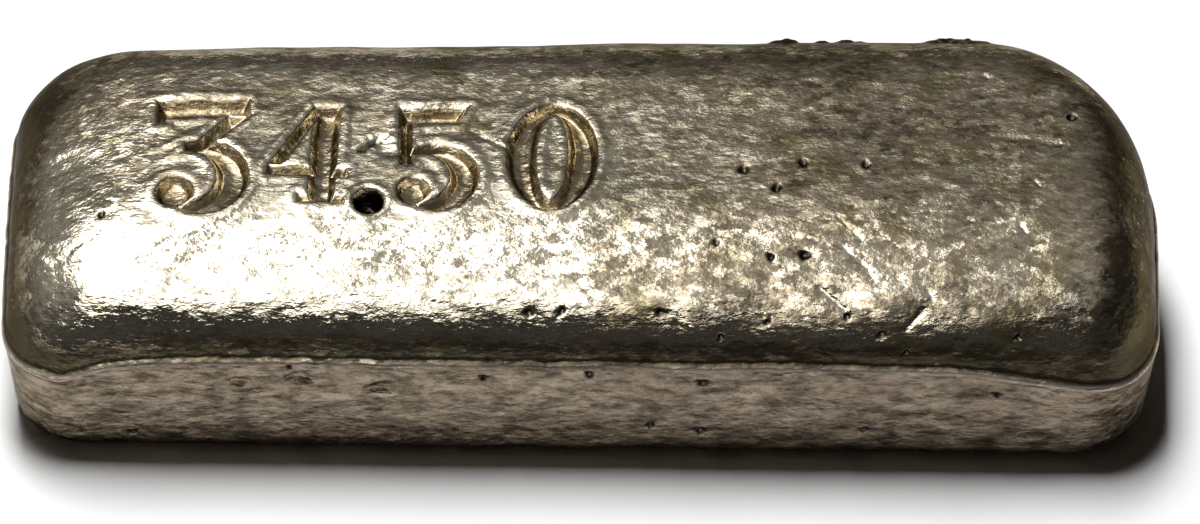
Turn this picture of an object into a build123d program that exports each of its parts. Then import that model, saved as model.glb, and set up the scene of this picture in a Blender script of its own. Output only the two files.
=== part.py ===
from build123d import *
import math
import os

# A small hand-poured silver ingot, in millimetres, lying on the face that lay in the mould.
# The origin is the middle of that face, +X runs along the bar, and the weight mark reads from -Y.
# The drafted wall below the rim took the mould's shape. The crown above the rim is the metal's
# own free surface: it leaves the rim steeply and turns over to a nearly flat top.

# Plan at the rim, which is the widest section, a little wider at the right end
length = 42.8
width_left = 13.3
width_right = 14.6
corner_front_left = 2.6
corner_front_right = 2.85
corner_back_right = 7.7
corner_back_left = 3.25

# Wall below the rim
wall_height = 5.85
wall_draft = 3.1
base_edge_radius = 0.8
rim_edge_radius = 0.1

# Crown above the rim: a superellipse in section, with its own run from the rim to the top on
# each side
crown_height = 4.05
crown_run_front = 5.45
crown_run_back = 3.75
crown_run_left = 7.1
crown_run_right = 3.65
crown_exponent = 2.2
crown_rows = 8
top_corner = 1.4
shoulder = 0.15

# Weight mark, punched digit by digit from the left end of the bar and a little out of line.
# Each punch has its digit, its height, the gap before it, its place across, and its tilt.
punches = [
    ("three", 5.35, 5.7, -0.7, 1.5),
    ("four", 4.45, 0.7, -0.55, -2.0),
    ("five", 4.8, 1.75, -0.7, 1.0),
    ("nought", 4.95, 1.0, -0.55, -1.5),
]
mark_depth = 0.45

# Decimal point: a blunt cone, punched deeper than the digits
point_after = "four"
point_lead = 0.8
point_drop = 2.7
point_radius = 0.6
point_depth = 0.85
point_taper = 16.0

# Digit shapes, as shares of the digit's height
digit_width = {"three": 0.64, "four": 0.66, "five": 0.64, "nought": 0.68}
thick_stroke = 0.22
thin_stroke = 0.10
bar_stroke = 0.15
bowl_radius = 0.32
ball_radius = 0.13
mouth_reach = 0.12
mouth_foot = 0.19
crossbar_rise = 0.27
serif_width = 0.38
serif_height = 0.07
stem_inset = 0.09
tick_drop = 0.05
upright_inset = 0.025
flag_inset = 0.10
flag_slant = 0.06

ingot_height = wall_height + crown_height
corner_radii = [corner_front_left, corner_front_right, corner_back_right, corner_back_left]


def width_at(x):
    """Width of the plan at x, which grows evenly from the left end to the right end."""
    return width_left + (width_right - width_left) * (x / length + 0.5)


# The bar is widest where its back right corner begins, and is centred there
front_side = -width_at(length / 2 - corner_back_right) / 2


def plan_corners(inset, share):
    """Corners of a plan of the bar: front left, front right, back right, back left.

    The plan lies inside the rim by inset, and by a share of the crown's run on each side.
    """
    left = -length / 2 + inset + share * crown_run_left
    right = length / 2 - inset - share * crown_run_right
    front = front_side + inset + share * crown_run_front
    back_shift = front_side - inset - share * crown_run_back
    return [
        (left, front),
        (right, front),
        (right, width_at(right) + back_shift),
        (left, width_at(left) + back_shift),
    ]


def fill_plan(sketch, inset, share):
    """Fill such a plan in the active sketch, its corners sharper the nearer it is to the top."""
    corners = plan_corners(inset, share)
    Polygon(*corners, align=None)
    for corner, radius in zip(corners, corner_radii):
        nearest = sketch.vertices().sort_by_distance(corner)[0]
        fillet(nearest, radius + share * (top_corner - radius))


def shape(height, *points):
    """Fill an outline in the active sketch, its points given as shares of the digit's height."""
    Polygon(*[(x * height, y * height) for x, y in points], align=None)


def block(height, left, right, foot, head):
    """Fill an upright rectangle, its sides given as shares of the digit's height."""
    shape(height, (left, foot), (right, foot), (right, head), (left, head))


def bowl(height, mouth_head):
    """The lower bowl of a three or a five: thick at the right, thin at its ends.

    Its mouth at the left runs from mouth_foot up to mouth_head, and a ball closes the lower end.
    """
    middle = (bowl_radius - 0.5) * height
    hollow_shift = (thick_stroke - thin_stroke) * height
    with Locations((0, middle)):
        Circle(bowl_radius * height)
    with Locations((-hollow_shift, middle)):
        Circle((bowl_radius - thin_stroke) * height, mode=Mode.SUBTRACT)
    with Locations((-mouth_reach * height, (mouth_foot - 0.5) * height)):
        Rectangle(
            bowl_radius * height,
            (mouth_head - mouth_foot) * height,
            align=(Align.MAX, Align.MIN),
            mode=Mode.SUBTRACT,
        )
    with Locations(((ball_radius - bowl_radius) * height, (mouth_foot - 0.5) * height)):
        Circle(ball_radius * height)


def draw_three(height):
    """Flat-topped three: a bar with a tick at its left end, a slanting neck and the bowl."""
    half = digit_width["three"] / 2
    bowl_head = 2 * bowl_radius
    neck_foot = bowl_head - 0.5 - thin_stroke
    bar_foot = 0.5 - bar_stroke
    tick_foot = bar_foot - tick_drop
    bowl(height, bowl_head)
    block(height, -half, half, bar_foot, 0.5)
    shape(
        height,
        (-half, 0.5),
        (-half, tick_foot),
        (thin_stroke - half - tick_drop, tick_foot),
        (thin_stroke - half, 0.5),
    )
    shape(
        height,
        (-mouth_reach, neck_foot),
        (0, neck_foot),
        (half, bar_foot),
        (half - bar_stroke, bar_foot),
    )


def draw_four(height):
    """Four: a stem with a foot, a crossbar and a slanting stroke."""
    half = digit_width["four"] / 2
    stem_left = half - stem_inset - thick_stroke
    stem_right = half - stem_inset
    stem_middle = (stem_left + stem_right) / 2
    bar_foot = crossbar_rise - 0.5
    block(height, stem_left, stem_right, -0.5, 0.5)
    block(height, -half, half, bar_foot, bar_foot + thin_stroke)
    block(height, stem_middle - serif_width / 2, stem_middle + serif_width / 2, -0.5, serif_height - 0.5)
    shape(
        height,
        (-half, bar_foot + thin_stroke),
        (thin_stroke - half, bar_foot + thin_stroke),
        (stem_left + thin_stroke, 0.5),
        (stem_left, 0.5),
    )


def draw_five(height):
    """Five: a bar with a slanted end, a thin upright and the bowl."""
    half = digit_width["five"] / 2
    left = upright_inset - half
    bar_foot = 0.5 - bar_stroke
    upright_foot = 2 * bowl_radius - 0.5 - 2 * thin_stroke
    bowl(height, upright_foot + 0.5)
    shape(
        height,
        (left, bar_foot),
        (half - flag_inset - flag_slant, bar_foot),
        (half - flag_inset, 0.5),
        (left, 0.5),
    )
    block(height, left, left + thin_stroke, upright_foot, 0.5)
    block(height, left, -mouth_reach, upright_foot, upright_foot + thin_stroke)


def draw_nought(height):
    """Nought: an upright ellipse with thick sides and thin ends."""
    half = digit_width["nought"] / 2
    Ellipse(half * height, 0.5 * height)
    Ellipse((half - thick_stroke) * height, (0.5 - thin_stroke) * height, mode=Mode.SUBTRACT)


draw = {"three": draw_three, "four": draw_four, "five": draw_five, "nought": draw_nought}

with BuildPart() as ingot:
    # The mould's drafted wall, from the rim down
    with BuildSketch(Plane.XY.offset(wall_height)) as rim:
        fill_plan(rim, 0, 0)
    extrude(amount=-wall_height, taper=wall_draft)
    base_edges = ingot.edges().group_by(Axis.Z)[0]
    fillet(base_edges, base_edge_radius)
    rim_edges = ingot.edges().group_by(Axis.Z)[-1]
    fillet(rim_edges, rim_edge_radius)

    # The crown stands on the rim, a shoulder in from its edge, and draws in as it rises
    for row in range(crown_rows):
        turn = math.radians(90 * row / (crown_rows - 1))
        rise = math.sin(turn) ** (2 / crown_exponent)
        share = 1 - math.cos(turn) ** (2 / crown_exponent)
        with BuildSketch(Plane.XY.offset(wall_height + rise * crown_height)) as crown_plan:
            fill_plan(crown_plan, shoulder, share)
    loft()

    # Weight mark
    pen = -length / 2
    for digit, height, gap, across, tilt in punches:
        width = digit_width[digit] * height
        pen += gap
        centre = (pen + width / 2, across, ingot_height)
        with BuildSketch(Plane(centre).rotated((0, 0, tilt))):
            draw[digit](height)
        extrude(amount=-mark_depth, mode=Mode.SUBTRACT)
        pen += width
        if digit == point_after:
            with BuildSketch(Plane((pen + point_lead, -point_drop, ingot_height))):
                Circle(point_radius)
            extrude(amount=-point_depth, taper=point_taper, mode=Mode.SUBTRACT)

ingot.part.label = "ingot"
os.makedirs("parts", exist_ok=True)
export_step(ingot.part, "parts/ingot.step")
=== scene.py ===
import math

import bpy
import numpy as np
from mathutils import Matrix, Vector, noise
from mathutils.geometry import delaunay_2d_cdt


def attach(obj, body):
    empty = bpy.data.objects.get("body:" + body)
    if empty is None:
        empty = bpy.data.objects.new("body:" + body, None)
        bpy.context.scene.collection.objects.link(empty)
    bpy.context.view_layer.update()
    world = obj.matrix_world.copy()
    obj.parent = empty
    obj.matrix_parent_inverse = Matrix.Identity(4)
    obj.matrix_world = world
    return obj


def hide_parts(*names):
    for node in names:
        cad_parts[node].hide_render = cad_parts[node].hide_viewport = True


# A hand-poured silver ingot with a punched weight. Shapes are worked out in millimetres in the
# frame's axes, and become metres when the mesh is made.

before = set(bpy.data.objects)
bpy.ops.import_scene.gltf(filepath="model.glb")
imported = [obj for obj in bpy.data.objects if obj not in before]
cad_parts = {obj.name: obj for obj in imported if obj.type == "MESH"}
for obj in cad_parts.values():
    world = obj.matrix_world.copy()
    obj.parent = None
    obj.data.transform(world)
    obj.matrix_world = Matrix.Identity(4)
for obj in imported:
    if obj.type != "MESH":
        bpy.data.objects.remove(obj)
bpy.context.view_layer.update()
MM = 0.001

# Plan at the rim, and the radii of its corners, counterclockwise
LENGTH = 42.8
WIDTH_LEFT = 13.3
WIDTH_RIGHT = 14.6
CORNERS = {"front_left": 2.6, "front_right": 2.85, "back_right": 7.7, "back_left": 3.25}

# Wall below the rim, and crown above it: a superellipse with its own run on each side
WALL_HEIGHT = 5.85
WALL_DRAFT = math.radians(3.1)
BASE_EDGE_RADIUS = 0.8
SHOULDER = 0.15
CROWN_HEIGHT = 4.05
CROWN_RUNS = {"front": 5.45, "back": 3.75, "left": 7.1, "right": 3.65}
CROWN_EXPONENT = 2.2
TOP_CORNER = 1.4
TOP = WALL_HEIGHT + CROWN_HEIGHT

# The lip begins this far below the rim. Its own section is how far it lies inside the rim, and
# how far it rises above it.
LIP_DROP = 0.4
LIP_SECTION = [
    (0.0, -0.25), (-0.01, -0.12), (-0.01, -0.04), (0.02, 0.02), (0.07, 0.07), (SHOULDER, 0.14),
]

# How far the lip sinks below its usual height at each corner, and over what distance
LIP_DIPS = {
    "front_left": (1.3, 2.6),
    "front_right": (1.4, 3.6),
    "back_right": (0.6, 4.0),
    "back_left": (0.7, 2.5),
}

# A notch in the lip near its front left corner: its place along the bar, depth and reach
LIP_NOTCH = (-19.1, 0.35, 0.6)

# How the lip wanders: depth, size and seed of each noise
LIP_WANDER = [(0.1, 3.0, 3), (0.05, 1.1, 4)]

# How fast a dip of the lip fades, down the wall and up the crown
WALL_FADE = 1.5
CROWN_FADE = 1.3

# Pores: place, radius and depth
PORES = [
    ((5.9, -1.0, 9.9), 0.22, 0.30), ((7.1, -1.9, 9.9), 0.22, 0.30), ((8.1, -0.7, 9.9), 0.18, 0.25),
    ((10.4, -0.8, 9.9), 0.18, 0.22), ((18.0, 1.6, 9.9), 0.20, 0.25), ((6.9, -4.7, 9.3), 0.20, 0.25),
    ((8.1, -4.6, 9.3), 0.24, 0.25), ((4.9, -4.2, 9.5), 0.14, 0.15), ((-17.6, -3.2, 9.5), 0.16, 0.18),
    ((-1.9, -6.4, 8.0), 0.22, 0.22), ((-0.7, -6.3, 8.1), 0.16, 0.20), ((2.9, -6.3, 8.0), 0.20, 0.20),
    ((5.1, -6.8, 7.2), 0.18, 0.20), ((6.8, -6.5, 7.7), 0.14, 0.15), ((9.7, -6.4, 8.0), 0.16, 0.18),
    ((11.0, -6.7, 7.4), 0.20, 0.22), ((11.9, -7.0, 6.7), 0.16, 0.18), ((16.0, -6.7, 7.5), 0.15, 0.20),
    ((0.3, -7.15, 5.35), 0.20, 0.30), ((4.5, -7.1, 4.9), 0.22, 0.25), ((2.6, -7.0, 2.0), 0.18, 0.20),
    ((4.4, -7.0, 1.7), 0.24, 0.25), ((10.5, -7.0, 1.9), 0.18, 0.20), ((15.3, -7.1, 4.6), 0.22, 0.18),
    ((-10.7, -7.15, 5.6), 0.15, 0.20), ((-3.6, -7.15, 5.0), 0.16, 0.12), ((-16.6, -7.0, 1.2), 0.18, 0.15),
    ((-18.5, -7.0, 1.3), 0.15, 0.15),
]

# Shallow stained hollows in the wall: place, radius and depth
HOLLOWS = [
    ((-10.3, -7.1, 4.9), 0.5, 0.12), ((-12.5, -7.1, 4.6), 0.35, 0.10), ((-7.4, -7.1, 4.3), 0.5, 0.10),
]

# Scratches and nicks: both ends, half width, depth and how bare the metal in them is
SCRATCHES = [
    ((-8.2, -0.35, 9.9), (-7.6, 0.1, 9.9), 0.12, 0.28, 0.0),
    ((-7.5, 0.0, 9.9), (-7.0, -0.5, 9.9), 0.34, 0.14, 1.0),
    ((-4.2, 0.6, 9.9), (-2.6, -0.4, 9.9), 0.09, 0.07, 0.6),
    ((15.0, 0.65, 9.9), (17.5, 0.3, 9.9), 0.14, 0.05, 0.1),
    ((9.35, -3.15, 9.75), (10.2, -4.05, 9.55), 0.08, 0.06, 1.0),
    ((9.5, -4.3, 9.45), (10.5, -5.1, 9.1), 0.10, 0.08, 1.0),
    ((10.2, -4.9, 9.2), (10.7, -5.45, 8.9), 0.07, 0.06, 1.0),
    ((10.6, -3.6, 9.7), (11.6, -4.3, 9.45), 0.06, 0.05, 0.5),
    ((16.3, -1.1, 9.9), (16.8, -1.75, 9.9), 0.06, 0.05, 0.6),
    ((16.0, -3.35, 9.7), (16.2, -3.6, 9.65), 0.12, 0.08, 1.0),
    ((14.8, 3.6, 9.9), (15.0, 3.4, 9.9), 0.10, 0.06, 0.8),
    ((8.7, -5.65, 8.7), (9.6, -6.2, 8.2), 0.13, 0.10, 1.0),
    ((12.5, -6.2, 8.2), (11.9, -6.6, 7.6), 0.12, 0.10, 1.0),
    ((12.6, -5.7, 8.7), (12.8, -5.9, 8.5), 0.11, 0.08, 1.0),
    ((18.3, -6.1, 8.3), (18.5, -6.2, 8.2), 0.12, 0.08, 1.0),
    ((-19.4, -4.8, 8.8), (-18.0, -4.2, 9.4), 0.16, 0.10, 0.8),
]

# Burrs on the back edge: place, radius and height
BURRS = [
    ((7.3, 6.0, 8.6), 0.28, 0.10), ((7.7, 6.0, 8.6), 0.24, 0.10), ((8.9, 6.0, 8.6), 0.22, 0.08),
    ((9.8, 6.1, 8.6), 0.28, 0.10), ((10.3, 6.1, 8.6), 0.18, 0.05), ((13.2, 6.1, 8.6), 0.40, 0.10),
    ((13.9, 6.1, 8.6), 0.45, 0.13), ((14.7, 6.1, 8.6), 0.40, 0.09),
]

# How marks fade out: each is full where reach, the distance in its radii, is small, and fades
# as smooth(start - slope * reach)
PORE_PRESS, PORE_FADE = 0.8, (1.2, 1.1)
# Painted shade in the pores, wider than the pits so that it covers their sides, and in nicks
PORE_DARK, PORE_DARK_FADE = 0.9, (2.0, 1.5)
HOLLOW_STRETCH, HOLLOW_FADE, STAIN_FADE = (1, 1, 1.8), (1.5, 1.0), (1.4, 1.0)
SCRATCH_PRESS, SCRATCH_FADE = 0.5, (1.3, 1.0)
SCRATCH_BARE, SCRATCH_BARE_FADE, NICK_DARK = 0.5, (1.4, 1.0), 0.9
BURR_FADE = (1.5, 1.0)
MARK_RAGGED, MARK_RAGGED_SIZE, MARK_RAGGED_SEED = 0.55, 0.3, 8

# Unevenness of the skin: height, size, seed and stretch of each noise. The wall has a share of
# the free surface's swells, and ripples of its own.
SWELLS = [(0.07, 6.0, 1, (1, 1, 1)), (0.04, 2.2, 2, (1, 1, 1)), (0.012, 0.8, 5, (1.8, 1, 1))]
RAGGED_RIM = [(0.05, 0.55, 9, (1.6, 1, 1)), (0.03, 0.22, 10, (1, 1, 1))]
RIM_REACH = 0.22
RIPPLES = (0.02, 0.6, 7, (4, 1, 1))
WALL_SWELL = 0.3

# Dents on the front slope: height, size and seed of their noise, and the places along and
# across where they begin and where they are full
DENTS = (0.07, 1.5, 6)
DENTS_FROM = (-2.0, -3.0)
DENTS_FULL = (8.0, -5.0)

# The skin is smooth below this height, so that the face that the bar rests on stays flat
FLAT_BELOW = 0.05

# Spacing of the mesh. It is finer in the small marks, along the digits' outlines and beside
# those: the reach of the first is in radii of a mark, that of the others in millimetres.
STEP = 0.19
LIP_STEP = 0.07
BOTTOM_STEP = 0.8
DENSE_ROWS = 30
DENSE_CROWN_ROWS = 90
MIN_ARC_POINTS = 6
CAP_CLEARANCE = 0.6
REFINE_PASSES = 4
MARK_STEP = 0.1
MARK_REACH = 1.6
OUTLINE_STEP = 0.08
OUTLINE_REACH = 0.22
BESIDE_STEP = 0.17
BESIDE_REACH = 0.6

# Farther than anything on the bar, and too small to matter
FAR = 1e9
TINY = 1e-12
MERGE_DISTANCE = 1e-7

# How far a seed of one moves a noise
SEED_SHIFT = (17.3, 5.1, 9.7)


def smooth(t):
    """Smooth step from 0 to 1."""
    t = np.clip(t, 0, 1)
    return t * t * (3 - 2 * t)


def bump(distance, radius):
    """Round bump of height 1, down to about a seventh of it at twice its radius."""
    return np.exp(-0.5 * (distance / radius) ** 2)


# Plan and rings

def arc_points(corner):
    """Into how many steps a corner of the plan is cut, on every ring."""
    return max(MIN_ARC_POINTS, round(CORNERS[corner] * math.pi / 2 / STEP))


def width_at(x):
    """Width of the plan at x: it grows evenly from the left end to the right end."""
    return WIDTH_LEFT + (WIDTH_RIGHT - WIDTH_LEFT) * (x / LENGTH + 0.5)


# The bar is widest where its back right corner begins, and is centred there
FRONT_SIDE = -width_at(LENGTH / 2 - CORNERS["back_right"]) / 2


def plan_ring(inset, share):
    """Outline of a plan of the bar, counterclockwise from the front left corner.

    It lies inside the rim by inset, and by a share of the crown's run on each side.
    """
    radii = {corner: radius + share * (TOP_CORNER - radius) for corner, radius in CORNERS.items()}
    left = -LENGTH / 2 + inset + share * CROWN_RUNS["left"]
    right = LENGTH / 2 - inset - share * CROWN_RUNS["right"]
    front = FRONT_SIDE + inset + share * CROWN_RUNS["front"]
    back = FRONT_SIDE + WIDTH_RIGHT - inset - share * CROWN_RUNS["back"]
    corner_at = {
        "front_left": (left, front, 1, 1, 180),
        "front_right": (right, front, -1, 1, 270),
        "back_right": (right, back, -1, -1, 0),
        "back_left": (left, back, 1, -1, 90),
    }
    order = list(CORNERS)
    points = []
    for corner, after in zip(order, order[1:] + order[:1]):
        x, y, sx, sy, start = corner_at[corner]
        radius = radii[corner]
        count = arc_points(corner)
        for step in range(count):
            angle = math.radians(start + 90 * step / count)
            points.append((x + radius * (sx + math.cos(angle)), y + radius * (sy + math.sin(angle))))
        next_x, next_y, next_sx, next_sy, _ = corner_at[after]
        next_radius = radii[after]
        if corner in ("front_left", "back_right"):
            a = (x + sx * radius, y)
            b = (next_x + next_sx * next_radius, next_y)
            reach = LENGTH
        else:
            a = (x, y + sy * radius)
            b = (next_x, next_y + next_sy * next_radius)
            reach = WIDTH_RIGHT
        straight = round((reach - CORNERS[corner] - CORNERS[after]) / STEP)
        for step in range(straight):
            t = step / straight
            points.append((a[0] + (b[0] - a[0]) * t, a[1] + (b[1] - a[1]) * t))
    points = np.array(points)
    across = points[:, 1] - FRONT_SIDE
    points[:, 1] = FRONT_SIDE + across * width_at(points[:, 0]) / WIDTH_RIGHT
    return points


def spread(curve, step):
    """Even points along a dense curve of rows, about step apart, measured across the front side."""
    curve = np.array(curve)
    across = curve[:, 0] + curve[:, 1] * CROWN_RUNS["front"]
    run = np.concatenate([[0], np.cumsum(np.hypot(np.diff(across), np.diff(curve[:, 2])))])
    count = max(2, round(run[-1] / step) + 1)
    even = np.linspace(0, run[-1], count)
    return np.column_stack([np.interp(even, run, curve[:, k]) for k in range(curve.shape[1])])


def section_rows():
    """Rows of inset, share of the crown's run and height, from the base up to the flat top."""
    slope = math.tan(WALL_DRAFT)
    foot = BASE_EDGE_RADIUS * (1 - math.sin(WALL_DRAFT))
    centre = (WALL_HEIGHT - foot) * slope + BASE_EDGE_RADIUS * math.cos(WALL_DRAFT)
    edge = []
    for turn in np.linspace(0, math.pi / 2 - WALL_DRAFT, DENSE_ROWS):
        inset = centre - BASE_EDGE_RADIUS * math.sin(turn)
        edge.append((inset, 0, BASE_EDGE_RADIUS * (1 - math.cos(turn))))
    neck = WALL_HEIGHT - LIP_DROP
    wall = [((WALL_HEIGHT - z) * slope, 0, z) for z in np.linspace(foot, neck, DENSE_ROWS)]
    lip = [wall[-1]] + [(inset, 0, WALL_HEIGHT + rise) for inset, rise in LIP_SECTION]
    crown = []
    for turn in np.linspace(0, math.pi / 2, DENSE_CROWN_ROWS):
        share = 1 - math.cos(turn) ** (2 / CROWN_EXPONENT)
        height = WALL_HEIGHT + CROWN_HEIGHT * math.sin(turn) ** (2 / CROWN_EXPONENT)
        if height >= lip[-1][2]:
            crown.append((SHOULDER, share, height))
    parts = [
        spread(edge, STEP),
        spread(wall, STEP)[1:],
        spread(lip, LIP_STEP)[1:],
        spread(lip[-1:] + crown, STEP)[1:],
    ]
    return np.concatenate(parts)


def fill_cap(boundary, step, upward):
    """Triangles that fill a ring: even points inside it, joined to the ring's own points."""
    low, high = boundary.min(0), boundary.max(0)
    xs = np.arange(low[0] + step / 2, high[0], step)
    ys = np.arange(low[1] + step / 2, high[1], step * math.sqrt(3) / 2)
    gx, gy = np.meshgrid(xs, ys)
    gx = gx + (np.arange(len(ys)) % 2)[:, None] * step / 2
    inner = np.column_stack([gx.ravel(), gy.ravel()])
    nearest = np.full(len(inner), FAR)
    inside = np.zeros(len(inner), bool)
    for a, b in zip(boundary, np.roll(boundary, -1, axis=0)):
        edge = b - a
        t = np.clip((inner - a) @ edge / (edge @ edge), 0, 1)
        nearest = np.minimum(nearest, np.hypot(*(inner - a - t[:, None] * edge).T))
        crosses = (a[1] > inner[:, 1]) != (b[1] > inner[:, 1])
        if crosses.any():
            at = a[0] + (inner[:, 1] - a[1]) * edge[0] / (edge[1] if edge[1] else TINY)
            inside ^= crosses & (inner[:, 0] < at)
    inner = inner[inside & (nearest > CAP_CLEARANCE * step)]
    points = np.concatenate([boundary, inner])
    rim = [list(range(len(boundary)))]
    result = delaunay_2d_cdt([Vector(p) for p in points], [], rim, 1, MERGE_DISTANCE)
    origin = [ids[0] if ids else None for ids in result[3]]
    faces = np.array([[origin[i] for i in face] for face in result[2]])
    a, b, c = points[faces[:, 0]], points[faces[:, 1]], points[faces[:, 2]]
    area = (b[:, 0] - a[:, 0]) * (c[:, 1] - a[:, 1]) - (b[:, 1] - a[:, 1]) * (c[:, 0] - a[:, 0])
    turned = (area < 0) == upward
    faces[turned] = faces[turned][:, ::-1]
    return inner, faces


def base_mesh():
    """The smooth bar as points and triangles, closed."""
    rows = section_rows()
    rings = [plan_ring(inset, share) for inset, share, _ in rows]
    count = len(rings[0])
    levels = [np.column_stack([ring, np.full(count, row[2])]) for ring, row in zip(rings, rows)]
    points = np.concatenate(levels)
    here = np.arange(count)
    there = np.roll(here, -1)
    faces = []
    for level in range(len(rows) - 1):
        low, high = level * count, (level + 1) * count
        faces.append(np.column_stack([low + here, low + there, high + there]))
        faces.append(np.column_stack([low + here, high + there, high + here]))
    for ring, level, height, step, upward in (
        (rings[-1], len(rows) - 1, TOP, STEP, True),
        (rings[0], 0, 0.0, BOTTOM_STEP, False),
    ):
        inner, cap = fill_cap(ring, step, upward)
        start = len(points)
        points = np.concatenate([points, np.column_stack([inner, np.full(len(inner), height)])])
        faces.append(np.where(cap < count, cap + level * count, cap - count + start))
    return points, np.concatenate(faces)


def refine(points, faces, wanted):
    """Split edges in two, in a few passes, where they are longer than wanted(their middle) asks."""
    for _ in range(REFINE_PASSES):
        pairs = np.sort(np.stack([faces, np.roll(faces, -1, axis=1)], axis=2).reshape(-1, 2), axis=1)
        edges, which = np.unique(pairs, axis=0, return_inverse=True)
        which = which.reshape(-1, 3)
        middle = points[edges].mean(axis=1)
        length = np.linalg.norm(points[edges[:, 0]] - points[edges[:, 1]], axis=1)
        split = length > wanted(middle)
        number = np.full(len(edges), -1)
        number[split] = len(points) + np.arange(split.sum())
        points = np.concatenate([points, middle[split]])
        cut = number[which]
        marks = (cut >= 0).sum(axis=1)
        done = [faces[marks == 0]]
        for amount in (1, 2, 3):
            pick = marks == amount
            f, m = faces[pick], cut[pick]
            if amount < 3:
                # Turn each triangle so that its first edge is split and, of two, its second too
                lead = np.argmax((m >= 0) & (np.roll(m, 1, axis=1) < 0), axis=1)
                order = (lead[:, None] + np.arange(3)) % 3
                f = np.take_along_axis(f, order, axis=1)
                m = np.take_along_axis(m, order, axis=1)
            a, b, c = f.T
            p, q, r = m.T
            if amount == 1:
                done += [np.column_stack(t) for t in ((a, p, c), (p, b, c))]
            elif amount == 2:
                done += [np.column_stack(t) for t in ((p, b, q), (a, p, q), (a, q, c))]
            else:
                done += [np.column_stack(t) for t in ((a, p, r), (p, b, q), (r, q, c), (p, q, r))]
        faces = np.concatenate(done)
    return points, faces


def normals_of(points, faces):
    """Area-weighted normals at the points."""
    a, b, c = points[faces[:, 0]], points[faces[:, 1]], points[faces[:, 2]]
    cross = np.cross(b - a, c - a)
    out = np.zeros_like(points)
    for k in range(3):
        for axis in range(3):
            out[:, axis] += np.bincount(faces[:, k], weights=cross[:, axis], minlength=len(points))
    return out / np.maximum(np.linalg.norm(out, axis=1, keepdims=True), TINY)


def noise_at(points, size, seed, stretch=(1, 1, 1)):
    """Smooth noise between about -1 and 1, with features of the given size in millimetres."""
    shift = Vector([seed * step for step in SEED_SHIFT])
    scale = 1 / (size * np.array(stretch))
    return np.array([noise.noise(Vector(p) + shift) for p in points * scale])


# Digits, drawn as distances to their outline in shares of the digit's height

DIGIT_WIDTH = {"three": 0.64, "four": 0.66, "five": 0.64, "nought": 0.68}
THICK = 0.22
THIN = 0.10
BAR = 0.15
BOWL_RADIUS = 0.32
BALL_RADIUS = 0.13
MOUTH_REACH = 0.12
MOUTH_FOOT = 0.19
CROSSBAR_RISE = 0.27
SERIF_WIDTH = 0.38
SERIF_HEIGHT = 0.07
STEM_INSET = 0.09

# In thin strokes: how wide the four's slanting stroke is at its foot, and how far the five's
# flag is cut in at its foot
SLANT_WIDTH = 1.2
FLAG_INSET = 1.6

# Keeps the middle of an oval from a division by nothing
OVAL_GUARD = 1e-9


def circle(x, y, cx, cy, radius):
    return np.hypot(x - cx, y - cy) - radius


def block(x, y, left, right, foot, head):
    dx = np.maximum(left - x, x - right)
    dy = np.maximum(foot - y, y - head)
    return np.hypot(np.maximum(dx, 0), np.maximum(dy, 0)) + np.minimum(np.maximum(dx, dy), 0)


def slab(x, y, *corners):
    """Convex shape, its corners in either order."""
    corners = np.array(corners)
    after = np.roll(corners, -1, axis=0)
    area = np.sum(corners[:, 0] * after[:, 1] - after[:, 0] * corners[:, 1])
    out = np.full(x.shape, -FAR)
    for (ax, ay), (bx, by) in zip(corners, after):
        run = math.copysign(math.hypot(bx - ax, by - ay), area)
        out = np.maximum(out, ((x - ax) * (by - ay) - (y - ay) * (bx - ax)) / run)
    return out


def oval(x, y, half_width, half_height):
    """Close to the distance to an ellipse's outline, where that is small."""
    k = np.hypot(x / half_width, y / half_height)
    return k * (k - 1) / (np.hypot(x / half_width**2, y / half_height**2) + OVAL_GUARD)


def bowl(x, y, mouth_head):
    """The lower bowl of a three or a five: thick at the right, open at the left, with a ball."""
    middle = BOWL_RADIUS - 0.5
    foot = MOUTH_FOOT - 0.5
    hollow = circle(x, y, THIN - THICK, middle, BOWL_RADIUS - THIN)
    mouth = block(x, y, -1, -MOUTH_REACH, foot, mouth_head - 0.5)
    ring = np.maximum(circle(x, y, 0, middle, BOWL_RADIUS), -np.minimum(hollow, mouth))
    return np.minimum(ring, circle(x, y, BALL_RADIUS - BOWL_RADIUS, foot, BALL_RADIUS))


def three(x, y):
    half = DIGIT_WIDTH["three"] / 2
    neck_foot = 2 * BOWL_RADIUS - 0.5 - THIN
    bar_foot = 0.5 - BAR
    tick_foot = bar_foot - THIN / 2
    tick = slab(x, y, (-half, 0.5), (THIN - half, 0.5), (THIN / 2 - half, tick_foot), (-half, tick_foot))
    neck = slab(x, y, (-MOUTH_REACH, neck_foot), (0, neck_foot), (half, bar_foot), (half - BAR, bar_foot))
    bar = block(x, y, -half, half, bar_foot, 0.5)
    return np.minimum.reduce([bowl(x, y, 2 * BOWL_RADIUS), tick, neck, bar])


def four(x, y):
    half = DIGIT_WIDTH["four"] / 2
    left, right = half - STEM_INSET - THICK, half - STEM_INSET
    middle = (left + right) / 2
    foot = CROSSBAR_RISE - 0.5
    stem = block(x, y, left, right, -0.5, 0.5)
    crossbar = block(x, y, -half, half, foot, foot + THIN)
    serif = block(x, y, middle - SERIF_WIDTH / 2, middle + SERIF_WIDTH / 2, -0.5, SERIF_HEIGHT - 0.5)
    head = foot + THIN
    slant = slab(x, y, (-half, head), (SLANT_WIDTH * THIN - half, head), (left + THIN, 0.5), (left, 0.5))
    return np.minimum.reduce([stem, crossbar, serif, slant])


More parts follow.
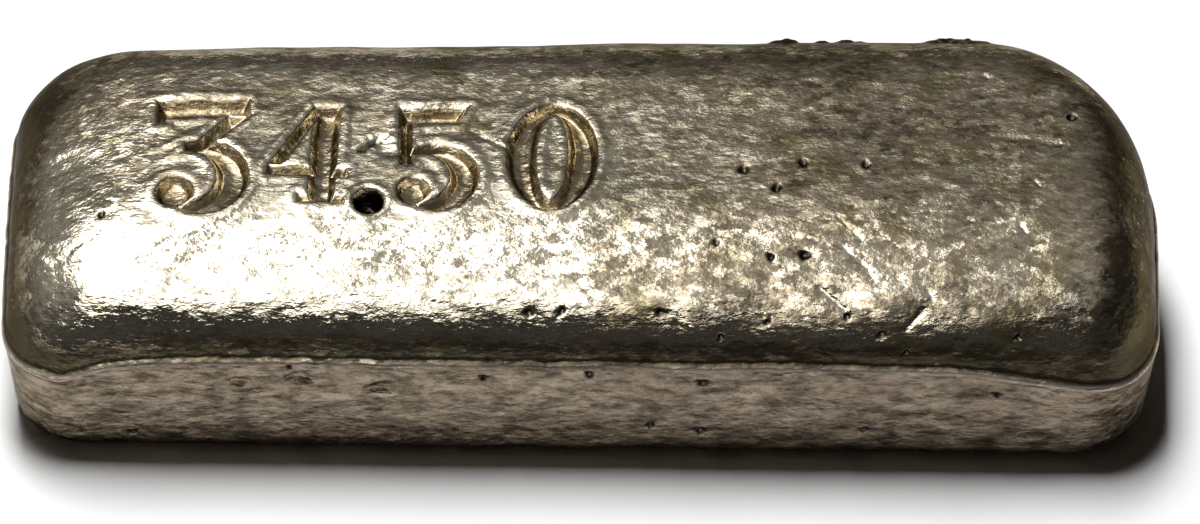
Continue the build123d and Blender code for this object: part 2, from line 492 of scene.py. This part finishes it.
def five(x, y):
    half = DIGIT_WIDTH["five"] / 2
    left = -half + THIN / 4
    upright_foot = 2 * BOWL_RADIUS - 0.5 - 2 * THIN
    foot = 0.5 - BAR
    flag = slab(x, y, (left, 0.5), (half - THIN, 0.5), (half - FLAG_INSET * THIN, foot), (left, foot))
    upright = block(x, y, left, left + THIN, upright_foot, 0.5)
    return np.minimum.reduce([bowl(x, y, upright_foot + 0.5), flag, upright])


def nought(x, y):
    half = DIGIT_WIDTH["nought"] / 2
    return np.maximum(oval(x, y, half, 0.5), -oval(x, y, half - THICK, 0.5 - THIN))


DRAW = {"three": three, "four": four, "five": five, "nought": nought}

# Each punch has its digit, its height, the gap before it, its place across, and its tilt
PUNCHES = [
    ("three", 5.35, 5.7, -0.7, 1.5),
    ("four", 4.45, 0.7, -0.55, -2.0),
    ("five", 4.8, 1.75, -0.7, 1.0),
    ("nought", 4.95, 1.0, -0.55, -1.5),
]
POINT_AFTER = "four"
POINT_LEAD = 0.8
POINT_DROP = 2.7
POINT_RADIUS = 0.6
POINT_DEPTH = 0.85

# A digit's side begins a little outside its outline and runs down to the mark's depth, and its
# floor is rounded by a little more. The depth wavers by a share, in one wave along the bar,
# with its rate and start in radians, and one across.
MARK_DEPTH = 0.42
SIDE_START = 0.05
SIDE_RUN = 0.32
FLOOR_START = 0.1
FLOOR_RUN = 0.5
FLOOR_DEPTH = 0.08
UNEVEN_DEPTH = 0.12
UNEVEN_ALONG = (1.7, 0.6)
UNEVEN_ACROSS = 1.3

# The point's side starts as far outside its radius, and runs in by a share of the radius
POINT_RUN = 0.75
# Painted shade in the decimal point: how far outside its radius it starts, and how far it comes in
POINT_DARK_START = 0.02
POINT_DARK_RUN = 0.2

# Metal raised beside the outline of a digit and of the point: distance, reach and height
RIDGE = (0.22, 0.13, 0.045)
POINT_RIDGE = (0.14, 0.08, 0.03)

# How far down from the top the marks are looked for, for the mesh and for the stamp
REFINE_DOWN = 0.8
STAMP_DOWN = 0.9

# The middle of the finest mesh lies this far inside the digits' outlines
OUTLINE_SHIFT = 0.08


def place_punches():
    """Distance function and place of each punch, worked out from the left end, and the point's place."""
    placed = []
    pen = -LENGTH / 2
    for digit, height, gap, across, tilt in PUNCHES:
        width = DIGIT_WIDTH[digit] * height
        pen += gap
        placed.append((DRAW[digit], height, pen + width / 2, across, math.radians(tilt)))
        pen += width
        if digit == POINT_AFTER:
            point = (pen + POINT_LEAD, -POINT_DROP)
    return placed, point


PLACED, POINT = place_punches()


def mark_distance(x, y):
    """Distance to the nearest digit's outline, in millimetres, negative inside the digits."""
    nearest = np.full(x.shape, FAR)
    for draw, height, cx, cy, tilt in PLACED:
        dx, dy = x - cx, y - cy
        u = (dx * math.cos(tilt) + dy * math.sin(tilt)) / height
        v = (dy * math.cos(tilt) - dx * math.sin(tilt)) / height
        nearest = np.minimum(nearest, draw(u, v) * height)
    return nearest


def near_segment(points, a, b):
    """Distance from each point to the segment from a to b."""
    a, b = np.array(a), np.array(b)
    along = b - a
    t = np.clip((points - a) @ along / (along @ along), 0, 1)
    return np.linalg.norm(points - a - t[:, None] * along, axis=1)


def wanted_length(middle):
    """How long an edge may be: short along the digits' outlines, round the point and in the marks."""
    out = np.full(len(middle), FAR)
    top = middle[:, 2] > TOP - REFINE_DOWN
    x, y = middle[top, 0], middle[top, 1]
    outline = np.abs(mark_distance(x, y) + OUTLINE_SHIFT)
    hole = np.hypot(x - POINT[0], y - POINT[1]) - POINT_RADIUS
    near = np.minimum(outline, np.abs(hole))
    beside = np.where(near < BESIDE_REACH, BESIDE_STEP, FAR)
    out[top] = np.where(near < OUTLINE_REACH, OUTLINE_STEP, beside)
    for place, radius, _ in PORES + BURRS:
        out[np.linalg.norm(middle - place, axis=1) < MARK_REACH * radius] = MARK_STEP
    for a, b, width, _, _ in SCRATCHES:
        out[near_segment(middle, a, b) < MARK_REACH * width] = MARK_STEP
    return out


def fade(reach, start, slope):
    """Share of a mark that is felt at each point: full near it, none far from it."""
    return smooth(start - slope * reach)


def wear(points, normals):
    """Sink pores, hollows and scratches into the surface and raise burrs on it.

    Gives the new points, the painted shade in pores and nicks, and how bare and stained the metal is at
    each.
    """
    press = np.zeros(len(points))
    dark = np.zeros(len(points))
    bare = np.zeros(len(points))
    stain = np.zeros(len(points))
    ragged = 1 + MARK_RAGGED * noise_at(points, MARK_RAGGED_SIZE, MARK_RAGGED_SEED)
    for place, radius, depth in PORES:
        reach = np.linalg.norm(points - place, axis=1) * ragged / radius
        press += PORE_PRESS * depth * fade(reach, *PORE_FADE)
        dark = np.maximum(dark, PORE_DARK * fade(reach, *PORE_DARK_FADE))
    for place, radius, depth in HOLLOWS:
        reach = np.linalg.norm((points - place) * HOLLOW_STRETCH, axis=1) * ragged / radius
        press += depth * fade(reach, *HOLLOW_FADE)
        stain = np.maximum(stain, fade(reach, *STAIN_FADE))
    for a, b, width, depth, clean in SCRATCHES:
        reach = near_segment(points, a, b) * ragged / width
        press += SCRATCH_PRESS * depth * fade(reach, *SCRATCH_FADE)
        bare = np.maximum(bare, SCRATCH_BARE * clean * fade(reach, *SCRATCH_BARE_FADE))
        if clean == 0:
            dark = np.maximum(dark, NICK_DARK * fade(reach, *SCRATCH_FADE))
    for place, radius, height in BURRS:
        reach = np.linalg.norm(points - place, axis=1) * ragged / radius
        press -= height * fade(reach, *BURR_FADE)
    return points - normals * press[:, None], dark, bare, stain


def stamp(points):
    """Press the digits and the point straight down, and raise the metal beside them.

    Gives how far each point lies in a digit, and the painted shade in the decimal point.
    """
    x, y = points[:, 0], points[:, 1]
    top = points[:, 2] > TOP - STAMP_DOWN
    edge = np.full(len(points), FAR)
    edge[top] = mark_distance(x[top], y[top])
    rate, start = UNEVEN_ALONG
    uneven = 1 + UNEVEN_DEPTH * np.sin(x * rate + start) * np.cos(y * UNEVEN_ACROSS)
    recess = smooth((SIDE_START - edge) / SIDE_RUN)
    floor = smooth((-edge - FLOOR_START) / FLOOR_RUN)
    points[:, 2] -= (MARK_DEPTH * recess + FLOOR_DEPTH * floor) * uneven
    away, reach, height = RIDGE
    points[:, 2] += height * bump(edge - away, reach) * (edge > -FLOOR_START)
    hole = np.full(len(points), FAR)
    hole[top] = np.hypot(x[top] - POINT[0], y[top] - POINT[1])
    points[:, 2] -= POINT_DEPTH * smooth((POINT_RADIUS + SIDE_START - hole) / (POINT_RUN * POINT_RADIUS))
    away, reach, height = POINT_RIDGE
    points[:, 2] += height * bump(hole - POINT_RADIUS - away, reach)
    dark = smooth((POINT_RADIUS + POINT_DARK_START - hole) / POINT_DARK_RUN)
    return recess, dark


def make_mesh(name, points, faces, **fields):
    """A smooth-shaded object from points in millimetres, with its fields as point attributes."""
    mesh = bpy.data.meshes.new(name)
    mesh.from_pydata((points * MM).tolist(), [], faces.tolist())
    mesh.polygons.foreach_set("use_smooth", [True] * len(mesh.polygons))
    for field, values in fields.items():
        mesh.attributes.new(field, "FLOAT", "POINT").data.foreach_set("value", values.astype(np.float32))
    mesh.validate()
    mesh.update()
    piece = bpy.data.objects.new(name, mesh)
    bpy.context.scene.collection.objects.link(piece)
    return piece


def corner_places():
    """Where the plan's square corners are."""
    left, right, front = -LENGTH / 2, LENGTH / 2, FRONT_SIDE
    return {
        "front_left": (left, front),
        "front_right": (right, front),
        "back_right": (right, front + WIDTH_RIGHT),
        "back_left": (left, front + WIDTH_LEFT),
    }


def sink_lip(points):
    """Lower the lip at the corners and let it wander along the sides; the wall and crown follow."""
    x, y, z = points.T
    dip = sum(depth * noise_at(points * (1, 1, 0), size, seed) for depth, size, seed in LIP_WANDER)
    for corner, (cx, cy) in corner_places().items():
        depth, reach = LIP_DIPS[corner]
        dip = dip + depth * bump(np.hypot(x - cx, y - cy), reach)
    at, depth, reach = LIP_NOTCH
    dip = dip + depth * bump(np.abs(x - at), reach) * (y < 0)
    below = np.clip(z / WALL_HEIGHT, 0, 1)
    over = np.clip((TOP - z) / CROWN_HEIGHT, 0, 1)
    points[:, 2] -= dip * np.where(z < WALL_HEIGHT, below**WALL_FADE, over**CROWN_FADE)


def lumps(points):
    """Uneven skin: gentle swells, dents on the front slope towards the right end, casting ripples.

    The face that the bar rests on stays flat.
    """
    x, y, z = points.T
    above = smooth(z - WALL_HEIGHT)
    (x_from, y_from), (x_full, y_full) = DENTS_FROM, DENTS_FULL
    front = smooth((y - y_from) / (y_full - y_from)) * smooth((x - x_from) / (x_full - x_from)) * above
    swell = sum(rise * noise_at(points, *rest) for rise, *rest in SWELLS)
    swell *= WALL_SWELL + (1 - WALL_SWELL) * above
    rise, *rest = DENTS
    dents = rise * noise_at(points, *rest) * front
    rise, *rest = RIPPLES
    ripples = rise * noise_at(points, *rest) * (1 - above)
    ragged = sum(rise * noise_at(points, *rest) for rise, *rest in RAGGED_RIM)
    ragged *= bump(z - WALL_HEIGHT, RIM_REACH)
    return (swell + dents + ripples + ragged) * (z > FLAT_BELOW)


def shaped_ingot():
    points, faces = base_mesh()
    points, faces = refine(points, faces, wanted_length)
    height = points[:, 2] / TOP
    normals = normals_of(points, faces)
    points, dark, bare, stain = wear(points, normals)
    sink_lip(points)
    points = points + normals * lumps(points)[:, None]
    recess, hole = stamp(points)
    points[:, 2] -= points[:, 2].min()
    fields = {
        "recess": recess,
        # Painted shade in pores, nicks and the decimal point
        "pit": np.maximum(dark, hole),
        "bare": bare,
        "stain": stain,
        "height": height,
    }
    return make_mesh("ingot_metal", points, faces, **fields)


ingot = shaped_ingot()
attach(ingot, "root")
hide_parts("ingot")


# Metal

def new_node(tree, kind, **values):
    """A node with its settings, and with the sockets named by number set or linked."""
    node = tree.nodes.new(kind)
    inputs = values.pop("inputs", {})
    for key, value in values.items():
        setattr(node, key, value)
    for socket, value in inputs.items():
        if isinstance(value, bpy.types.NodeSocket):
            tree.links.new(value, node.inputs[socket])
        else:
            node.inputs[socket].default_value = value
    return node


class Painter:
    """Short names for the nodes that make the metal and the room. Sizes are in millimetres."""

    SHIFT_RATIOS = (1.0, 0.7, 1.3)
    WARP = {"Scale": 2.5, "Detail": 3.0, "Roughness": 0.7}
    WARP_REACH = 1.3

    def __init__(self, tree):
        self.tree = tree
        metres = new_node(tree, "ShaderNodeTexCoord").outputs["Object"]
        inputs = {"Vector": metres, "Scale": (1 / MM,) * 3}
        self.place = new_node(tree, "ShaderNodeMapping", inputs=inputs).outputs[0]
        self.parts = new_node(tree, "ShaderNodeSeparateXYZ", inputs={0: self.place}).outputs

    def mapped(self, size, stretch, shift):
        """The place in units of a feature's size, moved so that no two features are alike."""
        scale = tuple(1 / (size * s) for s in stretch)
        inputs = {"Vector": self.place, "Location": shift, "Scale": scale}
        return new_node(self.tree, "ShaderNodeMapping", inputs=inputs).outputs[0]

    def noise(self, size, detail=2.0, rough=0.5, stretch=(1, 1, 1), shift=0.0):
        vector = self.mapped(size, stretch, tuple(shift * ratio for ratio in self.SHIFT_RATIOS))
        inputs = {"Vector": vector, "Scale": 1.0, "Detail": detail, "Roughness": rough}
        return new_node(self.tree, "ShaderNodeTexNoise", inputs=inputs).outputs["Fac"]

    def cells(self, size, stretch=(1, 1, 1), shift=0.0):
        """A random colour for each ragged cell of the given size."""
        vector = self.mapped(size, stretch, (shift,) * 3)
        warp = new_node(self.tree, "ShaderNodeTexNoise", inputs={"Vector": vector, **self.WARP})
        vector = self.vector("MULTIPLY_ADD", warp.outputs["Color"], (self.WARP_REACH,) * 3, vector)
        cell = new_node(self.tree, "ShaderNodeTexVoronoi", inputs={"Vector": vector, "Scale": 1.0})
        return cell.outputs["Color"]

    def vector(self, operation, *values):
        inputs = dict(enumerate(values))
        return new_node(self.tree, "ShaderNodeVectorMath", operation=operation, inputs=inputs).outputs[0]

    def math(self, operation, a, b):
        return new_node(self.tree, "ShaderNodeMath", operation=operation, inputs={0: a, 1: b}).outputs[0]

    def plus(self, a, b):
        return self.math("ADD", a, b)

    def times(self, a, b):
        return self.math("MULTIPLY", a, b)

    def most(self, a, b):
        return self.math("MAXIMUM", a, b)

    def ramp(self, value, low, high, to_low=0.0, to_high=1.0):
        """Smooth change from to_low to to_high as value goes from low to high."""
        inputs = {"Value": value, "From Min": low, "From Max": high, "To Min": to_low, "To Max": to_high}
        node = new_node(self.tree, "ShaderNodeMapRange", interpolation_type="SMOOTHSTEP", inputs=inputs)
        return node.outputs[0]

    def field(self, name):
        return new_node(self.tree, "ShaderNodeAttribute", attribute_name=name).outputs["Fac"]

    def mix(self, share, a, b):
        """The colour a, or b where share is 1."""
        node = new_node(self.tree, "ShaderNodeMix", data_type="RGBA")
        for socket, value in (("Factor_Float", share), ("A_Color", a), ("B_Color", b)):
            target = next(i for i in node.inputs if i.identifier == socket)
            if isinstance(value, bpy.types.NodeSocket):
                self.tree.links.new(value, target)
            else:
                target.default_value = value if socket == "Factor_Float" else (*value, 1)
        return next(o for o in node.outputs if o.identifier == "Result_Color")

    def tilted(self, random, amount):
        """The surface's normal, turned at random by the colour of cells."""
        normal = new_node(self.tree, "ShaderNodeNewGeometry").outputs["Normal"]
        centred = self.vector("SUBTRACT", random, (0.5,) * 3)
        turned = self.vector("MULTIPLY_ADD", centred, (amount,) * 3, normal)
        return self.vector("NORMALIZE", turned)

    def bump(self, height, distance, normal):
        inputs = {"Height": height, "Distance": distance * MM, "Strength": 1.0, "Normal": normal}
        return new_node(self.tree, "ShaderNodeBump", inputs=inputs).outputs[0]


# Colours: bare, worn and tarnished metal, the mould wall and its streaks, a painted highlight along
# the top of the wall, painted shade on the crown and in pores, and yellow-brown in patches and in the
# digits
BARE = (0.76, 0.68, 0.52)
WORN = (0.44, 0.365, 0.255)
TARNISH = (0.13, 0.105, 0.068)
WALL = (0.37, 0.30, 0.23)
WALL_STREAK = (0.09, 0.068, 0.048)
# Painted highlight along the top of the wall
WALL_TOP_HIGHLIGHT = (0.62, 0.54, 0.45)
# Painted shade on the crown: the dark band above the lip, the back edge and both ends
SHADE_PAINT = (0.05, 0.043, 0.028)
PIT_SHADE = (0.03, 0.026, 0.02)
GOLD = (0.25, 0.21, 0.10)
BRASSY = (0.32, 0.25, 0.14)
EDGE_TINT = (0.45, 0.435, 0.41, 1)

# Patterns in the metal
CLOUDS = dict(size=6.0, detail=3, shift=2.0)
STREAKS = dict(size=0.8, detail=4, rough=0.65, stretch=(2.6, 1, 1), shift=11.0)
SPECKLE = dict(size=0.22, detail=3, rough=0.7, stretch=(1.7, 1, 1), shift=23.0)
FLECKS = dict(size=0.17, detail=2, stretch=(1.9, 1, 1), shift=81.0)
CRYSTALS = dict(size=0.34, stretch=(1.7, 1, 1), shift=5.0)
GRAINS = dict(size=0.17, stretch=(1.7, 1, 1), shift=9.0)
LIP_BREAKS = dict(size=0.5, detail=3, stretch=(2.5, 1, 1), shift=61.0)
YELLOWING = dict(size=2.0, detail=3, shift=51.0)
DRAWN = dict(size=0.55, detail=5, rough=0.75, stretch=(2.2, 1.6, 1), shift=71.0)
DIGIT_STAIN = dict(size=0.5, detail=4, shift=31.0)
SKIN = dict(size=0.32, detail=3, rough=0.6, stretch=(1.7, 1, 1), shift=41.0)

# How much each of them, and each part of the bar, adds to the tarnish. At the back and in the band
# above the lip it is painted shade; on the worn front slope a share is taken away as painted highlight
CLOUD_SHARE = 0.45
STREAK_SHARE = 0.55
SPECKLE_SHARE = 0.5
CRYSTAL_SHARE = 0.18
BEHIND_SHADE_SHARE = 0.4
BAND_SHADE_SHARE = 0.30
RUB_HIGHLIGHT_SHARE = -0.17
BARE_SHARE = -0.5

# Changes over the bar, from one place to another and, where that isn't from 0 to 1, with the
# first and last value. Places along and across are in millimetres, and heights are shares of the
# bar's own: the rim is at 0.59.
LEAN_ALONG = (-16, 16, -0.06, 0.095)
LEAN_ACROSS = (-2, 6, -0.03, 0.08)
# Painted shade as tarnish at both ends of the crown: where it rises along the bar, and above what height
TARNISH_SHADE_LEFT = (-19.4, -20.6, 0.0, 0.38)
TARNISH_SHADE_RIGHT = (18.3, 20.3, 0.0, 0.3)
TARNISH_SHADE_HEIGHT = (0.592, 0.602)
BEHIND_HEIGHT = (0.985, 0.80)
BEHIND_ACROSS = (-0.5, 3.0)
BAND_FOOT = (0.588, 0.596)
BAND_HEAD = (0.76, 0.66)
LIP_FOOT = (0.565, 0.58)
LIP_HEAD = (0.603, 0.596)
# Painted highlight: the lip grows lighter towards the right end
LIP_HIGHLIGHT_RIGHT = (13.0, 17.0, 0.0, -0.2)
WALL_DULL = (0.60, 0.58, 0.0, 0.12)
# The worn front-left slope: wear, and a painted highlight that gives the lit patch there its sharp right
# edge
RUB_HIGHLIGHT_ALONG = (1.5, -1.5)
RUB_HIGHLIGHT_ACROSS = (-1.5, -3.5)
RUB_HIGHLIGHT_HEIGHT = (0.70, 0.78)
# Painted highlight along the top of the wall, towards both ends: where along the bar, and at what height
PALE_RIGHT = (8.0, 13.0, 0.3, 0.85)
PALE_LEFT = (-14.0, -18.0, 0.0, 0.5)
PALE_HEIGHT = (0.562, 0.584)
WALL_SHOWS = (0.600, 0.588, 0.0, 0.9)
# Painted shade on the crown: how it rises towards each end, above what height it lies, and how much of it
# the band above the lip and the back get
SHADE_PAINT_RIGHT = (17.8, 20.6, 0.0, 0.4)
SHADE_PAINT_LEFT = (-19.4, -20.8, 0.0, 0.7)
SHADE_PAINT_HEIGHT = (0.595, 0.604)
SHADE_PAINT_BAND = 0.6
SHADE_PAINT_BEHIND = 0.95

# Changes with a pattern or with the tarnish
LIP_BROKEN = (0.40, 0.50, -0.06, 0.3)
FLECK_CLEAN = (0.60, 0.70, 0.0, -0.22)
TO_WORN = (0.62, 0.82)
TO_TARNISH = (0.80, 1.06)
TO_YELLOW = (0.52, 0.68)
YELLOW_SHARE = 0.6
RUB_HIGHLIGHT_CLEAN = -0.8
TO_STREAK = (0.38, 0.66)
TO_BRASSY = (0.3, 0.6, 0.35, 0.9)
TO_ROUGH = (0.6, 1.0, 0.18, 0.36)
LIP_ROUGH = 0.15
GRAIN_MIX = 0.4
CRYSTAL_TILT = 0.20
SKIN_HEIGHT = 0.055


def parts_of_bar(p, height):
    """Where on the bar: its back and the band above the lip, which get painted shade, the lip, and the
    front slope that is worn and carries a painted highlight.
    """
    x, y, _ = p.parts
    behind = p.times(p.ramp(height, *BEHIND_HEIGHT), p.ramp(y, *BEHIND_ACROSS))
    band = p.times(p.ramp(height, *BAND_FOOT), p.ramp(height, *BAND_HEAD))
    lip = p.times(p.ramp(height, *LIP_FOOT), p.ramp(height, *LIP_HEAD))
    # Worn front-left slope: wear, and painted highlight
    rubbed_highlight = p.times(p.ramp(x, *RUB_HIGHLIGHT_ALONG), p.ramp(y, *RUB_HIGHLIGHT_ACROSS))
    rubbed_highlight = p.times(rubbed_highlight, p.ramp(height, *RUB_HIGHLIGHT_HEIGHT))
    return behind, band, lip, rubbed_highlight


def tarnish(p, height, crystals, behind, band, lip, rubbed_highlight):
    """How tarnished the metal is: clouds, streaks, speckle and crystals, and painted shade and highlight
    at some parts.
    """
    x, y, _ = p.parts
    shade = new_node(p.tree, "ShaderNodeSeparateXYZ", inputs={0: crystals}).outputs[0]
    share = p.plus(p.times(p.noise(**CLOUDS), CLOUD_SHARE), p.times(p.noise(**STREAKS), STREAK_SHARE))
    share = p.plus(share, p.times(p.noise(**SPECKLE), SPECKLE_SHARE))
    share = p.plus(share, p.times(p.plus(shade, -0.5), CRYSTAL_SHARE))
    share = p.plus(share, p.plus(p.ramp(x, *LEAN_ALONG), p.ramp(y, *LEAN_ACROSS)))
    # Painted shade as tarnish at the ends, the back and the band above the lip
    ends = p.plus(p.ramp(x, *TARNISH_SHADE_LEFT), p.ramp(x, *TARNISH_SHADE_RIGHT))
    share = p.plus(share, p.times(ends, p.ramp(height, *TARNISH_SHADE_HEIGHT)))
    share = p.plus(share, p.times(behind, BEHIND_SHADE_SHARE))
    share = p.plus(share, p.times(band, BAND_SHADE_SHARE))
    # The lip's tarnish is broken at random, and thins towards the right end as a painted highlight
    broken = p.plus(p.ramp(p.noise(**LIP_BREAKS), *LIP_BROKEN), p.ramp(x, *LIP_HIGHLIGHT_RIGHT))
    share = p.plus(share, p.times(lip, broken))
    share = p.plus(share, p.ramp(height, *WALL_DULL))
    # Lighter on the worn front-left slope: wear, and painted highlight
    share = p.plus(share, p.times(rubbed_highlight, RUB_HIGHLIGHT_SHARE))
    share = p.plus(share, p.times(p.field("bare"), BARE_SHARE))
    return p.plus(share, p.ramp(p.noise(**FLECKS), *FLECK_CLEAN))


def metal_color(p, height, share, behind, band, rubbed_highlight):
    """Colour of the metal, from the tarnish and the wall with its painted highlight up to painted shade,
    digits and pores.
    """
    x = p.parts[0]
    color = p.mix(p.ramp(share, *TO_WORN), BARE, WORN)
    color = p.mix(p.ramp(share, *TO_TARNISH), color, TARNISH)
    yellow = p.times(p.ramp(p.noise(**YELLOWING), *TO_YELLOW), YELLOW_SHARE)
    yellow = p.times(yellow, p.plus(p.times(rubbed_highlight, RUB_HIGHLIGHT_CLEAN), 1.0))
    color = p.mix(p.most(yellow, p.field("stain")), color, GOLD)
    wall = p.mix(p.ramp(p.noise(**DRAWN), *TO_STREAK), WALL, WALL_STREAK)
    # Painted highlight along the top of the wall, towards both ends
    top_highlight = p.plus(p.ramp(x, *PALE_RIGHT), p.ramp(x, *PALE_LEFT))
    wall = p.mix(p.times(top_highlight, p.ramp(height, *PALE_HEIGHT)), wall, WALL_TOP_HIGHLIGHT)
    color = p.mix(p.ramp(height, *WALL_SHOWS), color, wall)
    # Painted shade on the crown: the band above the lip, the back edge and both ends
    shade_mask = p.most(p.times(band, SHADE_PAINT_BAND), p.times(behind, SHADE_PAINT_BEHIND))
    shade_mask = p.most(shade_mask, p.ramp(x, *SHADE_PAINT_RIGHT))
    shade_mask = p.most(shade_mask, p.ramp(x, *SHADE_PAINT_LEFT))
    color = p.mix(p.times(shade_mask, p.ramp(height, *SHADE_PAINT_HEIGHT)), color, SHADE_PAINT)
    stain = p.times(p.field("recess"), p.ramp(p.noise(**DIGIT_STAIN), *TO_BRASSY))
    color = p.mix(stain, color, BRASSY)
    # Painted shade in pores, nicks and the decimal point
    return p.mix(p.field("pit"), color, PIT_SHADE)


def silver_material():
    """Tarnished silver: crystals that stand at their own slight angles, under a finely uneven skin."""
    material = bpy.data.materials.new("silver")
    material.use_nodes = True
    tree = material.node_tree
    shader = tree.nodes["Principled BSDF"]
    shader.inputs["Metallic"].default_value = 1.0
    shader.inputs["Specular Tint"].default_value = EDGE_TINT
    p = Painter(tree)
    height = p.field("height")
    crystals = p.cells(**CRYSTALS)
    behind, band, lip, rubbed_highlight = parts_of_bar(p, height)
    share = tarnish(p, height, crystals, behind, band, lip, rubbed_highlight)
    color = metal_color(p, height, share, behind, band, rubbed_highlight)
    rough = p.plus(p.ramp(share, *TO_ROUGH), p.times(lip, LIP_ROUGH))
    normal = p.tilted(p.mix(GRAIN_MIX, crystals, p.cells(**GRAINS)), CRYSTAL_TILT)
    normal = p.bump(p.noise(**SKIN), SKIN_HEIGHT, normal)
    tree.links.new(color, shader.inputs["Base Color"])
    tree.links.new(rough, shader.inputs["Roughness"])
    tree.links.new(normal, shader.inputs["Normal"])
    return material


ingot.data.materials.append(silver_material())


# Floor, camera and light

# The floor is white all over. A black flag lies on it in front of the bar, just out of the
# picture, and only reflections see it: it gives the metal above the lip its dark band.
STAGE_REACH = 3000
FLOOR_SHADE = 0.9
FLAG_EDGE = -13.0
FLAG_HEIGHT = 0.02
FLAG_SHADE = 0.04
STAGE_ROUGHNESS = 0.9
STAGE_GLOSS = 0.1

# Camera, in degrees and millimetres: its height above the floor, its roll, how far it is from the
# bar's middle, its lens, and how far it stands to its own right and down
CAMERA_ELEVATION = 52
CAMERA_ROLL = 0.7
CAMERA_DISTANCE = 285.3
CAMERA_LENS = 229.35
CAMERA_SENSOR = 36
CAMERA_RIGHT = 0.65
CAMERA_DOWN = 1.28
CAMERA_CLIP = (0.01, 10)

# Light from the room, by direction: more from above, less from the front, and some from the left
ROOM_UP = (0.0, 0.95, 0.02, 0.26)
ROOM_BACK = (-0.8, 0.2, 0.4, 1.0)
ROOM_LEFT = (-0.3, -0.9, 0.0, 0.15)


def stage_plane(name, back, height, shade):
    """A level plane from far in front to its back edge, of one plain colour."""
    mesh = bpy.data.meshes.new(name)
    reach = STAGE_REACH
    corners = [(-reach, -reach), (reach, -reach), (reach, back), (-reach, back)]
    mesh.from_pydata([(px * MM, py * MM, height * MM) for px, py in corners], [], [(0, 1, 2, 3)])
    plane = bpy.data.objects.new(name, mesh)
    bpy.context.scene.collection.objects.link(plane)
    material = bpy.data.materials.new(name + "_surface")
    material.use_nodes = True
    shader = material.node_tree.nodes["Principled BSDF"]
    shader.inputs["Base Color"].default_value = (shade, shade, shade, 1)
    shader.inputs["Roughness"].default_value = STAGE_ROUGHNESS
    shader.inputs["Specular IOR Level"].default_value = STAGE_GLOSS
    mesh.materials.append(material)
    return plane


def add_camera():
    """A long lens above the front, turned a little so that the bar's right end sinks."""
    elevation, roll = math.radians(CAMERA_ELEVATION), math.radians(CAMERA_ROLL)
    target = Vector((0, 0, TOP / 2))
    back = Vector((0, -math.cos(elevation), math.sin(elevation)))
    right = Vector((1, 0, 0))
    up = back.cross(right)
    cam_right = right * math.cos(roll) + up * math.sin(roll)
    cam_up = back.cross(cam_right)
    place = target + back * CAMERA_DISTANCE + cam_right * CAMERA_RIGHT - cam_up * CAMERA_DOWN
    data = bpy.data.cameras.new("camera")
    data.lens = CAMERA_LENS
    data.sensor_width = CAMERA_SENSOR
    data.clip_start, data.clip_end = CAMERA_CLIP
    camera = bpy.data.objects.new("camera", data)
    turn = Matrix((cam_right, cam_up, back)).transposed().to_4x4()
    camera.matrix_world = Matrix.Translation(place * MM) @ turn
    bpy.context.scene.collection.objects.link(camera)
    bpy.context.scene.camera = camera


def softbox(name, centre, size, radiance, lit):
    """A rectangle of light in millimetres that faces the X axis and has one side along it.

    It lights only the objects in lit. What lights the bar is seen in its metal and stops there.
    """
    centre = Vector(centre)
    data = bpy.data.lights.new(name, "AREA")
    data.shape = "RECTANGLE"
    data.size, data.size_y = size[0] * MM, size[1] * MM
    data.energy = math.pi * radiance * data.size * data.size_y
    if ingot in lit:
        data.cycles.max_bounces = 0
    lamp = bpy.data.objects.new(name, data)
    lamp.location = centre * MM
    lamp.rotation_euler = (-math.atan2(centre.y, centre.z), 0, 0)
    bpy.context.scene.collection.objects.link(lamp)
    receivers = bpy.data.collections.new(name + "_lights")
    for piece in lit:
        receivers.objects.link(piece)
    lamp.light_linking.receiver_collection = receivers


def add_world():
    """A dim room: darker towards the horizon and the front, a little lighter to the left.

    Only the metal sees it, so that the floor's one lamp gives the bar its shadow.
    """
    world = bpy.data.worlds.new("studio")
    world.use_nodes = True
    tree = world.node_tree
    p = Painter(tree)
    direction = new_node(tree, "ShaderNodeTexCoord").outputs["Generated"]
    x, y, z = new_node(tree, "ShaderNodeSeparateXYZ", inputs={0: direction}).outputs
    level = p.times(p.ramp(z, *ROOM_UP), p.ramp(y, *ROOM_BACK))
    level = p.plus(level, p.ramp(x, *ROOM_LEFT))
    background = tree.nodes["Background"]
    background.inputs["Color"].default_value = (1, 1, 1, 1)
    tree.links.new(level, background.inputs["Strength"])
    bpy.context.scene.world = world
    world.cycles_visibility.diffuse = False


floor = stage_plane("floor", STAGE_REACH, 0.0, FLOOR_SHADE)
flag = stage_plane("flag", FLAG_EDGE, FLAG_HEIGHT, FLAG_SHADE)
flag.visible_camera = False
flag.visible_diffuse = False
flag.visible_shadow = False
add_camera()
softbox("window", centre=(-25, 48, 220), size=(50, 94), radiance=44.8, lit=[floor, flag])
softbox("key", centre=(-79, -67, 134), size=(148, 250), radiance=2.8, lit=[ingot])
softbox("fill", centre=(57, -68, 134), size=(106, 218), radiance=0.17, lit=[ingot])
softbox("glow", centre=(10, -115, 96), size=(30, 110), radiance=0.8, lit=[ingot])
softbox("side", centre=(-95, 20, 110), size=(110, 70), radiance=2.8, lit=[ingot])
softbox("halo", centre=(-74, 58, 138), size=(156, 58), radiance=0.9, lit=[ingot])
add_world()
bpy.context.scene.view_settings.view_transform = "Standard"
